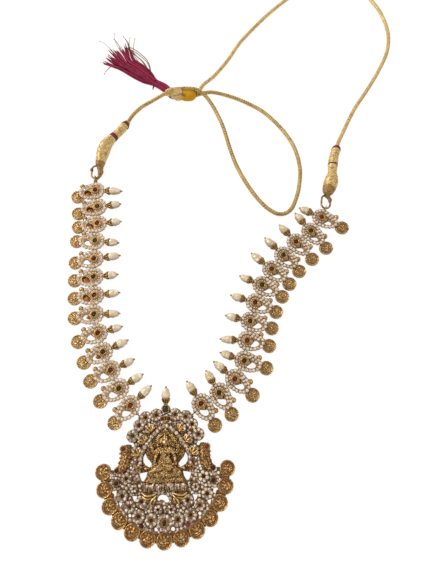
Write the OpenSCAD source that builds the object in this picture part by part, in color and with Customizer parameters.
// Pendant necklace, lying flat: a pierced pendant with a seated figure, thirteen
// stone-set links a side, and an adjustable braided cord with one tassel.
// Origin: on the back plane, at the centre of the arc of the pendant's coins.
// +Y runs from the pendant to the neck, +Z out of the surface it lies on. Millimetres.

/* [Links] */
// Distance between the centres of two links at the pendant
link_pitch = 10.85; // [10.85:0.05:12]
// Growth of that distance with each link towards the neck
link_slack = 0.1; // [0:0.02:0.12]
// Growth of a link's own size with each link towards the neck
link_grow = 0.008; // [0:0.001:0.009]
// Height of the stone-set rim
link_band_h = 2.3; // [2:0.1:2.6]
// Thickness of the plate behind the bezel
link_floor_h = 1.0; // [0.6:0.1:1.4]
// Outer radius of the bezel
bezel_r = 2.3; // [2:0.1:2.5]
// Height of the bezel
bezel_h = 3.2; // [2.8:0.1:3.6]
// Radius of the bezel's stone
stone_r = 1.35; // [1:0.05:1.5]
// Wire radius of hooks and eyes
wire_r = 0.2; // [0.15:0.01:0.2]
// Mean radius of the hooks
hook_r = 0.55; // [0.55:0.01:0.6]
// Mean radius of the eyes
eye_r = 0.7; // [0.7:0.01:0.75]

/* [Coins] */
// Coin radius
coin_r = 3.8; // [3.5:0.05:3.9]
// Coin thickness
coin_h = 1.3; // [0.8:0.1:1.6]
// Radius of the coins under the pendant
arc_coin_r = 3.85; // [3.4:0.05:3.95]
// Radius of the arc of coins under the pendant
coin_arc_r = 31.1; // [30.8:0.1:33]

/* [Pearls] */
// Largest radius of a pearl
pearl_r = 2.35; // [1.6:0.05:2.4]
// Length of a pearl
pearl_len = 5.4; // [5:0.1:5.6]
// Radius of the pin that carries a pearl
pin_r = 0.25; // [0.2:0.05:0.3]

/* [Pendant] */
// Thickness of the pierced plate
plate_h = 1.6; // [1.2:0.1:2]
// Height of the stone-set rosettes
rosette_h = 2.4; // [2:0.1:3]
// Height of the plain bezels and leaves
leaf_h = 3.0; // [2.4:0.1:3.4]

/* [Cord] */
// Cord diameter
cord_d = 2.5; // [2.2:0.1:2.6]
// Radius of the slider
slider_r = 3.0; // [2.7:0.1:3.2]

/* [Hidden] */
$fn = 48;

gold = [0.72, 0.55, 0.28];
cream = [0.93, 0.89, 0.78];

// Chains, from the pendant's shoulder to the neck. Columns: way of travel to this link,
// way from its coin to its pearl side, swing of its pearl from that, in degrees from +X;
// what its pearl is longer than pearl_len; its coin's centre, out from the bezel and along the chain.
shoulder = [15.0, 26.9];
left_lay = [[129, 45, -2, 0.8, 11.7, -0.1], [126, 30, 0.4, 0.65, 11.6, -0.2], [117, 26, -1.4, -0.15, 12.1, 0.1], [115, 25, 0.4, 0.8, 11.75, -0.1],
  [108, 16, -1, -0.4, 11.95, -0.9], [105, 6, -5, 0.2, 11.4, -0.2], [93, 5, 0.5, 0.1, 11.9, 0.1], [96, 6, -0.7, -0.4, 11.6, -0.1],
  [93, 7, -0.2, 0.8, 11.6, -0.1], [91, -4, -2.5, -0.3, 11.75, 0.1], [87, 6, -1.5, -0.4, 12.1, 0.1], [94, 12, -5.5, -0.4, 12.45, -1], [100, 10, -13.5, 1.5, 11.75, -1.4]];
right_lay = [[48, 122, 0.4, 0.3, 12.85, 0.05], [29, 120, -0.6, -0.1, 12.65, -0.15], [39, 137, 1.6, 0.85, 12.5, 0], [60, 158, 1, -0.15, 12.5, 0.7],
  [79, 170, 4.4, 0.75, 12.5, -0.7], [78, 160, 4.2, 0, 12.65, 0.4], [72, 156, 3.8, 0.4, 12.85, -0.1], [67, 150, 4, -0.4, 13.35, -0.2],
  [57, 138, -1.6, 0.95, 13.35, 0.1], [49, 131, -0.2, 0.85, 13.2, 0.1], [46, 128, -1, 0, 14.05, 0.4], [36, 126, -3, 0.1, 13.7, 0.6], [50, 149, 2.5, -0.25, 13.85, 0.7]];

function dir(a) = [cos(a), sin(a)];
function way(v) = atan2(v[1], v[0]);
function start(s) = [s * shoulder[0], shoulder[1]];
function lay(s) = s < 0 ? left_lay : right_lay;
// centre of the n-th link of a side, n = 0 next to the pendant
function place(s, n) = n == 0 ? start(s) + link_pitch / 2 * dir(lay(s)[0][0])
                              : place(s, n - 1) + (link_pitch + link_slack * n) * dir(lay(s)[n][0]);
function size(n) = 1 + link_grow * n;
// the joint on the pendant side of the n-th link
function joint(s, n) = n == 0 ? start(s) : (place(s, n - 1) + place(s, n)) / 2;
joint_z = 0.75;
joint_off = 0.36; // how far a hook's or an eye's centre is from the joint

// Stones round a link, in its own frame: +X to the pearl, +Y to the neck
ring_stones = [[0.9, 4.4], [-1.1, 4.4], [-3.1, 4.15], [-5.1, 3.8], [-6.9, 3], [-8.3, 1.7], [-8.7, -0.2], [-7.9, -1.9], [-6.4, -3], [-4.7, -3.8],
  [-2.8, -4.2], [-0.9, -4.4], [1.1, -4.1], [2.8, -3.2], [3.9, -1.6], [4.2, 0.3], [3.8, 2.2], [2.6, 3.7]];

// Oval rings: centre and the way of the long axis.
ring_z = 1.7;
ring_wire = 0.6;
ring_half = 2.0; // half the straight run
ring_bend = 2.7; // mean radius of the ends
ring_l_at = [-47.0, 178.2];
ring_l_way = 91;
ring_r_at = [98.9, 151.6];
ring_r_way = 80;
function ring_low(at, w) = at - (ring_half + ring_bend) * dir(w);

// Routes of the cords' centre lines: x, y, z. Both start at a sleeve and end in the slider.
left_route = [[-27.5, 218.9, 1.8], [-24.5, 224.8, 1.4], [-19, 231.2, 1.3], [-12, 235.8, 1.7], [-5.5, 238.0, 4.0], [0.6, 239.8, 6.15],
  [7.6, 241.2, 6.68], [14, 241.3, 6.55], [19.5, 240.2, 6.4], [24.4, 236.9, 5.0], [29.2, 230.6, 2.9], [33.6, 221, 1.4], [37, 210.2, 1.3],
  [40, 196, 1.3], [44, 181, 1.3], [50.3, 166, 1.3], [57.4, 153.8, 1.3], [64.4, 146.2, 1.3], [70.6, 143.8, 1.3], [76.4, 146.8, 1.3], [80.4, 154.4, 1.3],
  [83.4, 164.3, 1.3], [85.2, 178, 1.3], [83, 194, 1.3], [76.1, 209.2, 1.3], [65.4, 223.4, 1.3], [54, 232.3, 1.3], [42, 238.8, 1.3],
  [31, 242.6, 1.3], [24.6, 241.8, 1.4], [21.6, 238.7, 1.9], [18.6, 237.4, 2.1]];
right_route = [[110.9, 192.8, 1.9], [114.4, 200.4, 1.3], [127, 224, 1.3], [138, 240.3, 1.3], [149.5, 258.5, 1.3],
  [159, 277.3, 1.3], [163, 296.2, 1.3], [161, 317, 1.3], [155.5, 332, 1.3], [150, 343, 1.3], [140, 352, 1.3], [127, 355.5, 1.3],
  [113, 352, 1.3], [101, 344, 1.3], [90, 334, 1.3], [77, 321, 1.3], [65, 307, 1.3], [51.7, 289.5, 1.3], [42, 272.5, 1.3],
  [32, 258.2, 1.3], [24.4, 250.4, 1.4], [21.6, 245.4, 1.8], [20.9, 241.6, 3.2], [18.8, 239.6, 3.8]];

// Sleeves of wound thread: x, y, radius. They lie on the surface.
left_sleeve = [[-27.6, 218.7, 1.7], [-28.9, 216, 2.2], [-30.6, 212.6, 2.8], [-34, 208, 2.7], [-37.7, 203.4, 3.0], [-40.4, 198.8, 3.7],
  [-42.1, 193.8, 4.1], [-43.3, 188.8, 3.7], [-44.1, 184.4, 3.1], [-44.6, 181.2, 2.4]];
right_sleeve = [[110.7, 192.2, 1.9], [110, 190.2, 2.8], [108.2, 185.6, 2.9], [106.8, 180.8, 3.2], [106, 176.6, 3.0], [105.3, 172.6, 2.8],
  [104, 167.6, 3.9], [102.6, 163, 4.5], [101, 158.8, 3.9], [100.2, 155.8, 2.7]];

// Tassel: x, y, half width, half height of each section, from its root in the slider to its tips.
tassel_lay = [[0.6, 238.4, 1.3, 1.3], [-1, 240.2, 1.4, 1.3], [-2, 244.3, 1.8, 1.5], [-4.4, 247.6, 2.2, 1.6], [-7.4, 250.1, 2.6, 1.8], [-10.7, 252.2, 3.2, 1.9],
  [-15.5, 256.8, 5.8, 2.4], [-21.6, 264.1, 8.2, 2.6], [-28.7, 271.5, 10.4, 2.5], [-35.2, 278.3, 12.4, 2.0], [-39.8, 283, 13.8, 1.1]];

// ---- wires -------------------------------------------------------------
module torus(R, r) rotate_extrude() translate([R, 0]) circle(r, $fn = 18);

// a flat eye at p
module eye(p) translate([p[0], p[1], joint_z]) torus(eye_r, wire_r);

// an upright hook at p, its plane along the way a
module hook(p, a, R = hook_r, r = wire_r) translate([p[0], p[1], R + r]) rotate([0, 0, a]) rotate([90, 0, 0]) torus(R, r);

// a straight wire from p to q at height z
module stem(p, q, z, r) translate([p[0], p[1], z]) rotate([0, 0, way(q - p)]) rotate([0, 90, 0]) cylinder(h = norm(q - p), r = r);

// ---- pearl on its pin; the pin's axis is +X from the origin -------------
pearl_z = 2.4;
cap_from = 4.7;
pearl_from = 7.6;

module cap_and_pin(more) translate([0, 0, pearl_z]) rotate([0, 90, 0]) {
  translate([0, 0, cap_from]) cylinder(h = 1.2, r = 0.65);
  translate([0, 0, cap_from + 0.5]) cylinder(h = 0.6, r = 0.95);
  translate([0, 0, cap_from + 1]) cylinder(h = 1.8, r1 = 0.8, r2 = 1.7);
  cylinder(h = pearl_from + pearl_len + more + 0.4, r = pin_r);
  translate([0, 0, pearl_from + pearl_len + more + 0.62]) sphere(0.5);
}

module pearl(more) translate([0, 0, pearl_z]) rotate([0, 90, 0]) translate([0, 0, pearl_from]) {
  l = pearl_len + more;
  rotate_extrude() polygon([[pin_r + 0.1, 0], [1.2, 0], [0.8 * pearl_r, 0.08 * l], [0.94 * pearl_r, 0.18 * l], [pearl_r, 0.3 * l], [pearl_r, 0.42 * l],
    [0.94 * pearl_r, 0.54 * l], [0.8 * pearl_r, 0.67 * l], [0.6 * pearl_r, 0.8 * l], [0.4 * pearl_r, 0.92 * l], [0.28 * pearl_r, l], [pin_r + 0.1, l]]);
}

// ---- link; X runs from the coin to the pearl, +Y to the neck ------------
module link_outline() {
  circle(4.1);
  polygon([[0.5, 4.1], [-3.1, 3.9], [-5, 3.5], [-6.7, 2.7], [-8, 1.5], [-8.4, -0.2], [-7.6, -1.7], [-6.2, -2.7], [-4.6, -3.5], [-2.8, -3.9], [0.5, -4.1]]);
}
// the rim: wider, with one lobe for each stone
module rim_outline() {
  polygon(ring_stones);
  for (q = ring_stones) translate(q) circle(1);
}
module link_opening() polygon([[-6.7, 0.1], [-5.7, 0.95], [-4.5, 1.1], [-3.8, 0.3], [-3.1, -0.9], [-2.1, -2.1], [-2.6, -2.9], [-4.3, -2.8], [-5.8, -2.1], [-6.6, -1.2]]);
// what the rim leaves free: the opening and a groove round the bezel
module recess_outline() {
  circle(2.72);
  polygon([[-1.2, 2.45], [-2.7, 1.5], [-3.9, 0.3], [-3.9, -0.3], [-2.7, -1.5], [-1.2, -2.45]]);
  link_opening();
}

module bezel_outline(r) { circle(r); rotate(135) square(r + 0.1); }

module link_body(out, along) {
  linear_extrude(link_floor_h) difference() { link_outline(); link_opening(); }
  linear_extrude(1.65) difference() { link_outline(); recess_outline(); }
  translate([0, 0, 1.6]) linear_extrude(link_band_h - 1.6) difference() { rim_outline(); recess_outline(); }
  difference() {
    linear_extrude(bezel_h) bezel_outline(bezel_r);
    translate([0, 0, bezel_h - 1]) cylinder(h = 2, r = stone_r + 0.08);
  }
  translate([-out, along, 0]) cylinder(h = coin_h, r = coin_r);
  translate([-out, along / 2 - 0.6, 0]) cube([out - 7.8, 1.2, 1.1]);
  // bud on its stem
  translate([-7.1, 4.45, 1.5]) rotate([0, 0, 37]) sphere(1.3);
  translate([-7.5, 1.8, 1]) cube([0.8, 2.2, 0.8]);
}

module link(s, n) {
  p = place(s, n);
  a = lay(s)[n][1];
  low = joint(s, n);
  u = dir(lay(s)[n][0]);
  color(gold) {
    translate([p[0], p[1], 0]) rotate([0, 0, a]) scale(size(n)) {
      mirror([0, s > 0 ? 1 : 0, 0]) link_body(lay(s)[n][4] / size(n), lay(s)[n][5] / size(n));
      rotate([0, 0, lay(s)[n][2]]) difference() {
        cap_and_pin(lay(s)[n][3]);
        translate([0, 0, -1]) cylinder(h = 6, r = 3.9);
      }
    }
    // eye on the pendant side
    eye(low + joint_off * u);
    stem(p - 3.6 * u, low + (joint_off + eye_r) * u, joint_z, 0.3);
    // hook on the neck side
    if (n < 12) {
      v = dir(lay(s)[n + 1][0]);
      high = joint(s, n + 1);
      hook(high - joint_off * v, lay(s)[n + 1][0]);
      stem(p + 3.6 * v, high - (joint_off + hook_r) * v, joint_z, 0.3);
    } else {
      wire = s < 0 ? ring_low(ring_l_at, ring_l_way) : ring_low(ring_r_at, ring_r_way);
      w = way(wire - p);
      at = wire - 0.25 * dir(w);
      hook(at, w, 1.5, 0.3);
      stem(p + 4 * dir(w), at - 1.45 * dir(w), 1.6, 0.45);
    }
  }
}

// The pearls and stones of a side: the same places as their links.
module at_link(s, n) translate([place(s, n)[0], place(s, n)[1], 0]) rotate([0, 0, lay(s)[n][1]]) scale(size(n)) children();
module pearls(s) color(cream) for (n = [0:12]) at_link(s, n) rotate([0, 0, lay(s)[n][2]]) pearl(lay(s)[n][3]);
module round_stone(r, z) translate([0, 0, z]) { cylinder(h = 0.6, r = r); translate([0, 0, 0.6]) cylinder(h = 0.3, r1 = r, r2 = 0.6 * r); }
module bezel_stones(first) for (s = [-1, 1]) for (n = [first:2:12]) at_link(s, n) round_stone(stone_r, bezel_h - 0.9);

// ---- pendant ------------------------------------------------------------
// Rosettes of one half: x, y, radius, radius of the seat in the centre
rosettes = [[4.9, 25.9, 3.3, 0.9], [10.4, 24.8, 3.2, 0.8], [13.7, 21, 3, 0.8], [16.8, 15.9, 3.2, 0.9], [19.2, -4, 2.9, 0.8], [20.8, -11.8, 3, 0.8],
  [17, -16.7, 3, 0.7], [11.3, -14.5, 3, 0.8], [12.6, -21, 3.3, 0.9], [6.4, -22.8, 3.3, 0.9], [3.2, -18.3, 2.4, 0.6]];
// Plain set stones of one half: x, y, radius of the setting
small_settings = [[9.3, 17.2, 1.3], [12.6, 11.3, 1.4], [12.4, 16.4, 1.2], [13.5, 3.2, 1.3], [13.2, 0.6, 1.6], [15.2, -8.6, 2], [24, -0.2, 1.5],
  [24, -6, 1.5], [9.4, 0.2, 1]];
// Shell leaves of one half: x, y, radius
shells = [[8, 19.4, 2.5], [11.7, 14, 2.5], [14.6, 8.2, 2.6]];

module both() { children(); mirror([1, 0, 0]) children(); }

module coin_at(i) translate([0, -0.7, 0]) rotate([0, 0, 180 + 15 * i]) translate([coin_arc_r, 0, 0]) children();

module plate_outline() {
  both() {
    for (r = rosettes) translate([r[0], r[1]]) circle(r[2]);
    for (r = small_settings) translate([r[0], r[1]]) circle(r[2]);
    for (r = shells) translate([r[0], r[1]]) circle(r[2]);
    // side leaf
    polygon([[16.8, 11.6], [19.4, 12], [21.4, 11.4], [22.6, 9.8], [22.6, 5], [24.2, 0.4], [24.4, -3], [19, -3], [17.2, 2]]);
    // between the side leaf and the figure
    polygon([[16, 12], [18.6, 11], [19.4, 6], [19.4, -3], [17.6, -6], [13.4, -4.8], [13, -2.4], [13.9, -1.2], [12.7, 1.4], [15, 5], [16.4, 8]]);
    // neck of the shoulder hook
    polygon([[11, 24], [13.6, 22.4], [14.5, 25], [13.3, 25.7]]);
    // edge between the lower rosettes and the coins
    polygon([[22, -3], [28, -0.6], [28, -2.6], [25.6, -8.4], [27.6, -9], [27, -10.8], [24, -14], [23.6, -16.6], [20.6, -20.4],
      [16.2, -24.6], [14, -26], [8.6, -28], [7, -28.2], [2, -28.8], [0, -28.8], [0, -22], [8, -20], [15, -15], [18, -8]]);
    // arch
    polygon([[0, 21.6], [3.4, 19.9], [6.6, 16.9], [9.2, 13.4], [11.6, 10], [13.2, 6], [13.4, 2], [11.8, 2], [11.6, 5.6], [10.2, 9.2], [7.8, 12.6],
      [5.4, 15.8], [2.6, 18.2], [0, 19.6]]);
    // between the arch and the rosettes
    polygon([[0, 27], [6, 24], [13, 20], [16, 14], [17.5, 8], [16, 0], [13.4, 2], [11, 10], [6, 17], [1.4, 20], [0, 20.4]]);
  }
  circle(r = 1);
  translate([0, 28.8]) circle(2.3);
  translate([0, -24]) circle(4.2);
  // under the platform
  polygon([[-8, -15.4], [-4.6, -11.8], [4.6, -11.8], [8, -15.4], [11, -18], [8.6, -20.6], [0, -20.6], [-8.6, -20.6], [-11, -18]]);
  // behind the figure
  polygon([[-5.6, 19], [5.6, 19], [7.8, 10.6], [7.4, 7.6], [4.6, 5.4], [4.4, 1.4], [8.8, -1], [10.6, -5.6], [11.4, -6.4], [11.4, -10.2], [14, -12],
    [8, -16], [4.5, -12.2], [-4.5, -12.2], [-8, -16], [-14, -12], [-11.4, -10.2], [-11.4, -6.4], [-10.6, -5.6], [-8.8, -1], [-4.4, 1.4], [-4.6, 5.4],
    [-7.4, 7.6], [-7.8, 10.6]]);
  both() {
    // curled leaves under the platform
    polygon([[4.2, -12], [11, -10], [11, -14], [6, -17], [3, -16]]);
    // beside the platform
    polygon([[13.4, -4.6], [17.4, -6], [18.6, -9], [17, -12], [11.4, -12], [11.2, -8.2]]);
    // between the figure and the arch
    polygon([[4, 10.6], [10, 10.4], [11.2, 8], [12.2, 5], [13.4, 2], [13.4, -6.4], [4, -6.4]]);
  }
}

module plate_holes() {
  both() {
    // beside the figure
    polygon([[10.2, 7.6], [11.3, 5.6], [11.2, 3.4], [10.2, 2], [8.9, 1.2], [7.6, 0.4], [6.4, 0.8], [6.2, 1.6], [7.6, 3.6], [9.1, 5.2]]);
    polygon([[8.8, -1.3], [11, -1.6], [13, -2], [12.6, -3.6], [11.8, -5.4], [10.6, -5.5], [9.4, -3.6]]);
    // beside the coins
    polygon([[23.9, -9.2], [25.9, -9.4], [26.7, -11.4], [25.6, -12.4], [23.8, -11.6]]);
    polygon([[20.7, -15.4], [21.2, -14.4], [22.3, -13.8], [22.6, -15], [22, -17]]);
    for (h = [[16.7, 11.4, 0.8], [15.4, 4.6, 0.5], [17.3, 0.8, 0.6], [17, -20.6, 0.8], [4, -26.9, 1], [13.9, -17.9, 0.6], [2.2, 22.6, 0.6], [7.1, -13.8, 0.6]])
      translate([h[0], h[1]]) circle(h[2]);
  }
  // arched opening under the platform
  polygon([[-3.8, -14.1], [-3.3, -12.7], [-1.9, -11.9], [-0.6, -11.8], [0.8, -12.3], [2, -13.6], [2.2, -14.8], [1.4, -15.4], [0.1, -15.3], [-0.9, -14.2], [-2.3, -14], [-3, -14.7]]);
}

// Red stones at the top, x and y
red_at = [[-1.7, 23.9], [1.7, 23.9], [-1.5, 20.7], [1.5, 20.7]];

// room for the pendant's set stones
module stone_rooms() {
  for (q = red_at) translate([q[0], q[1], leaf_h - 0.8]) cylinder(h = 3, r = 0.88);
  both() translate([21.1, 9.9, leaf_h - 0.5]) cylinder(h = 3, r = 0.98);
  translate([-1.3, 27.2, leaf_h - 0.7]) cube([2.6, 3.2, 3]);
}

module pendant_frame() color(gold) difference() { frame_metal(); stone_rooms(); }

module frame_metal() {
  linear_extrude(plate_h) difference() { plate_outline(); plate_holes(); }
  // raised settings
  both() {
    for (r = rosettes) translate([r[0], r[1], 0.4]) linear_extrude(rosette_h - 0.4) difference() { circle(r[2] - 0.1); circle(r[3]); }
    for (r = small_settings) translate([r[0], r[1], 0.4]) cylinder(h = leaf_h - 0.6, r = r[2] - 0.1);
    for (r = shells) translate([r[0], r[1], 0.4]) { cylinder(h = rosette_h - 0.4, r = r[2] - 0.1); translate([0, 0, rosette_h - 0.4]) cylinder(h = 0.7, r1 = r[2] - 0.5, r2 = r[2] - 1.5); }
    // side leaf and its bezel
    translate([0, 0, 0.4]) linear_extrude(leaf_h - 0.8) polygon([[17.4, 9.6], [18.6, 11.6], [20.4, 11], [22.3, 9], [22.2, 5], [23.6, 0.6], [22.9, -1.6], [20.2, -0.8], [18.2, 2.2], [17.3, 6]]);
    translate([21.1, 9.9, 0.4]) cylinder(h = leaf_h, r = 1.6);
    // arch
    translate([0, 0, 0.4]) linear_extrude(rosette_h) polygon([[0.6, 21.2], [3.4, 19.7], [6.5, 16.7], [9, 13.3], [11.4, 9.9], [13, 6], [13.2, 2.2], [12, 2.2],
      [11.8, 5.6], [10.3, 9.3], [7.9, 12.7], [5.5, 15.9], [2.7, 18.3], [0.6, 19.5]]);
    // curled leaves
    translate([0, 0, 0.4]) linear_extrude(rosette_h) polygon([[4.4, -11.4], [10.6, -10.6], [10.8, -13.4], [6.2, -16.4], [3.9, -15.2]]);
    // shoulder hook
    hook(shoulder - joint_off * dir(48), 48);
    stem([12, 23.4], shoulder - (joint_off + hook_r) * dir(48), joint_z, 0.4);
  }
  // biggest rosette, and settings at the top
  translate([0, -24, 0.4]) linear_extrude(rosette_h) difference() { circle(4.1); circle(1.2); }
  translate([0, 28.8, 0.4]) cylinder(h = leaf_h - 0.2, r = 2.2);
  for (q = red_at) translate([q[0], q[1], 0.4]) cylinder(h = leaf_h - 0.4, r = 1.35);
  // trough of the platform
  translate([0, 0, 0.4]) linear_extrude(1.6) difference() {
    translate([-11.2, -10.1]) square([22.4, 3.8]);
    translate([-10.7, -9.7]) square([21.4, 3]);
  }
  // coins and their necks
  for (i = [0:12]) coin_at(i) { translate([-5.4, -0.7, 0]) cube([2.4, 1.4, 1.1]); cylinder(h = coin_h, r = arc_coin_r); }
  // socket of the top pearl
  translate([0, 26, 0]) rotate([0, 0, 90]) difference() {
    cap_and_pin(0.5);
    translate([-1, -2, 0]) cube([4.4, 4, 4]);
  }
}

// Cast figure, set on the plate behind it, inside the arch and above the platform
module pendant_figure() color(gold) translate([0, 0, plate_h + 0.05]) intersection() {
  union() {
    // halo with its crest
    translate([0, 14.6, 0]) cylinder(h = 1.1, r = 5.7);
    translate([0, 14.6, 1.1]) torus(5, 0.75);
    translate([0, 19.6, 0.9]) sphere(1.5);
    // head and crown
    translate([0, 13.4, 1.9]) sphere(2);
    translate([0, 15.9, 1.7]) sphere(1.7);
    translate([0, 17.6, 1.5]) sphere(1.1);
    // body
    translate([0, 9.4, 0.9]) sphere(2.9);
    translate([0, 5.2, 0.7]) sphere(3);
    for (s = [-1, 1]) {
      translate([s * 3.2, 10.2, 1]) sphere(1.6);
      // raised hand with a flower
      translate([s * 5.4, 9.8, 0.9]) sphere(1.5);
      translate([s * 7.1, 10.2, 0.8]) sphere(1.8);
      translate([s * 7.2, 8.1, 0.6]) sphere(1.5);
      // lowered arm
      translate([s * 3.9, 7.2, 0.9]) sphere(1.5);
      translate([s * 4.6, 4.6, 0.9]) sphere(1.5);
      // folded leg
      translate([s * 3.0, -1.2, 0.5]) sphere(2.9);
      translate([s * 6.1, -2.6, 0.3]) sphere(2.7);
      translate([s * 3.2, -4.2, 0.5]) sphere(2.3);
    }
    translate([0, 1.4, 0.3]) cylinder(h = 1.8, r = 3.4);
    translate([-8.2, -6, 0]) cube([16.4, 2.4, 1.6]);
  }
  linear_extrude(8) both() polygon([[0, 19.2], [0.5, 19.2], [2.6, 18.1], [5.4, 15.7], [7.8, 12.5], [10.2, 9.1], [11.6, 5.5], [11.8, 2], [12, -6.2], [0, -6.2]]);
}

module pendant_red_stones() color([0.45, 0.08, 0.07]) {
  for (q = red_at) translate([q[0], q[1], 0]) round_stone(0.8, leaf_h - 0.75);
  both() translate([21.1, 9.9, 0]) round_stone(0.9, leaf_h - 0.45);
}
module pendant_green_stone() color([0.1, 0.35, 0.15]) translate([0, 28.8, leaf_h - 0.65]) {
  translate([-1.2, -1.5, 0]) cube([2.4, 3, 0.7]);
  translate([0, 0, 0.7]) cylinder(h = 0.4, r1 = 1.1, r2 = 0.7);
}
module platform_stones() color(cream) for (i = [-3:3]) translate([3.02 * i, -8.2, plate_h + 0.05]) {
  translate([-1.35, -1.4, 0]) cube([2.7, 2.8, 0.9]);
  translate([-1, -1, 0.9]) cube([2, 2, 0.4]);
}
module pearl_top() color(cream) translate([0, 26, 0]) rotate([0, 0, 90]) pearl(0.5);

// ---- findings and soft parts ---------------------------------------------
module oval_ring(at, w) translate([at[0], at[1], ring_z]) rotate([0, 0, w]) {
  for (t = [0, 180]) rotate([0, 0, t]) translate([ring_half, 0, 0]) rotate([0, 0, -90]) rotate_extrude(angle = 180) translate([ring_bend, 0]) circle(ring_wire, $fn = 24);
  for (t = [-1, 1]) translate([-ring_half, t * ring_bend, 0]) rotate([0, 90, 0]) cylinder(h = 2 * ring_half, r = ring_wire, $fn = 24);
}

// A closed skin over rings of points, ends capped
module skin(rings) {
  n = len(rings[0]);
  m = len(rings);
  polyhedron(
    points = [for (r = rings) each r],
    faces = concat(
      [[for (k = [n - 1:-1:0]) k]],
      [for (i = [0:m - 2]) for (k = [0:n - 1]) each [[i * n + k, (i + 1) * n + (k + 1) % n, (i + 1) * n + k], [i * n + k, i * n + (k + 1) % n, (i + 1) * n + (k + 1) % n]]],
      [[for (k = [0:n - 1]) (m - 1) * n + k]]));
}
function unit(v) = v / norm(v);
function tangent(p, i) = unit(p[min(i + 1, len(p) - 1)] - p[max(i - 1, 0)]);
// a smooth line through the points of a route, with k steps a point
function smooth(p, k) = [for (i = [0:len(p) - 2]) for (j = [0:k - 1])
    let (t = j / k, a = p[max(i - 1, 0)], b = p[i], c = p[i + 1], d = p[min(i + 2, len(p) - 1)])
    0.5 * (2 * b + (c - a) * t + (2 * a - 5 * b + 4 * c - d) * t * t + (3 * b - a - 3 * c + d) * t * t * t), p[len(p) - 1]];
// a ring of n points round p, across the direction t, w wide to the side and h up
function ring_at(p, t, w, h, n) = let (side = unit(cross(t, [0, 0, 1])), up = cross(side, t))
    [for (k = [0:n - 1]) p + w * cos(360 * (k + 0.5) / n) * side + h * sin(360 * (k + 0.5) / n) * up];

module cord(route) { p = smooth(route, len(route) > 28 ? 1 : 2); skin([for (i = [0:len(p) - 1]) ring_at(p[i], tangent(p, i), cord_d / 2, cord_d / 2, 8)]); }

module sleeve(lay) { p = [for (q = lay) [q[0], q[1], q[2]]]; skin([for (i = [0:len(p) - 1]) ring_at(p[i], tangent(p, i), lay[i][2], lay[i][2], 12)]); }

// room for the oval ring in a sleeve's end
module ring_room(at, w) translate([at[0], at[1], ring_z]) rotate([0, 0, w]) {
  for (t = [0, 180]) rotate([0, 0, t]) translate([ring_half, 0, 0]) rotate([0, 0, -90]) rotate_extrude(angle = 180) translate([ring_bend, 0]) circle(ring_wire + 0.25, $fn = 24);
  for (t = [-1, 1]) translate([-ring_half, t * ring_bend, 0]) rotate([0, 90, 0]) cylinder(h = 2 * ring_half, r = ring_wire + 0.25, $fn = 24);
}

module slider() color([0.7, 0.5, 0.2]) translate([18, 238.3, slider_r]) rotate([0, -90, 0]) rotate_extrude()
  polygon([[0, 0], [2.55, 0], [2.9, 1], [slider_r, 3], [slider_r, 6.5], [2.6, 9], [2.5, 9.6], [2.8, 11], [2.8, 14], [2.3, 15.8], [1.8, 16.4], [0, 16.4]]);

module tassel() color([0.5, 0.1, 0.2]) { p = [for (q = tassel_lay) [q[0], q[1], q[3] + 0.1]]; skin([for (i = [0:len(p) - 1]) ring_at(p[i], tangent(p, i), tassel_lay[i][2], tassel_lay[i][3], 12)]); }

module sleeve_left() color([0.75, 0.6, 0.35]) difference() { sleeve(left_sleeve); ring_room(ring_l_at, ring_l_way); }
module sleeve_right() color([0.75, 0.6, 0.35]) difference() { sleeve(right_sleeve); ring_room(ring_r_at, ring_r_way); }
module ring_left() color(gold) oval_ring(ring_l_at, ring_l_way);
module ring_right() color(gold) oval_ring(ring_r_at, ring_r_way);
module cord_left() color([0.78, 0.62, 0.36]) cord(left_route);
module cord_right() color([0.78, 0.62, 0.36]) cord(right_route);
module pearls_left() pearls(-1);
module pearls_right() pearls(1);
module red_stones() color([0.45, 0.08, 0.07]) bezel_stones(0);
module green_stones() color([0.1, 0.35, 0.15]) bezel_stones(1);

pendant_frame();
pendant_figure();
pendant_red_stones();
pendant_green_stone();
platform_stones();
pearl_top();
link(-1, 12);  // link_l01
link(-1, 11);  // link_l02
link(-1, 10);  // link_l03
link(-1, 9);  // link_l04
link(-1, 8);  // link_l05
link(-1, 7);  // link_l06
link(-1, 6);  // link_l07
link(-1, 5);  // link_l08
link(-1, 4);  // link_l09
link(-1, 3);  // link_l10
link(-1, 2);  // link_l11
link(-1, 1);  // link_l12
link(-1, 0);  // link_l13
link(1, 12);  // link_r01
link(1, 11);  // link_r02
link(1, 10);  // link_r03
link(1, 9);  // link_r04
link(1, 8);  // link_r05
link(1, 7);  // link_r06
link(1, 6);  // link_r07
link(1, 5);  // link_r08
link(1, 4);  // link_r09
link(1, 3);  // link_r10
link(1, 2);  // link_r11
link(1, 1);  // link_r12
link(1, 0);  // link_r13
pearls_left();
pearls_right();
red_stones();
green_stones();
ring_left();
ring_right();
sleeve_left();
sleeve_right();
cord_left();
cord_right();
slider();
tassel();
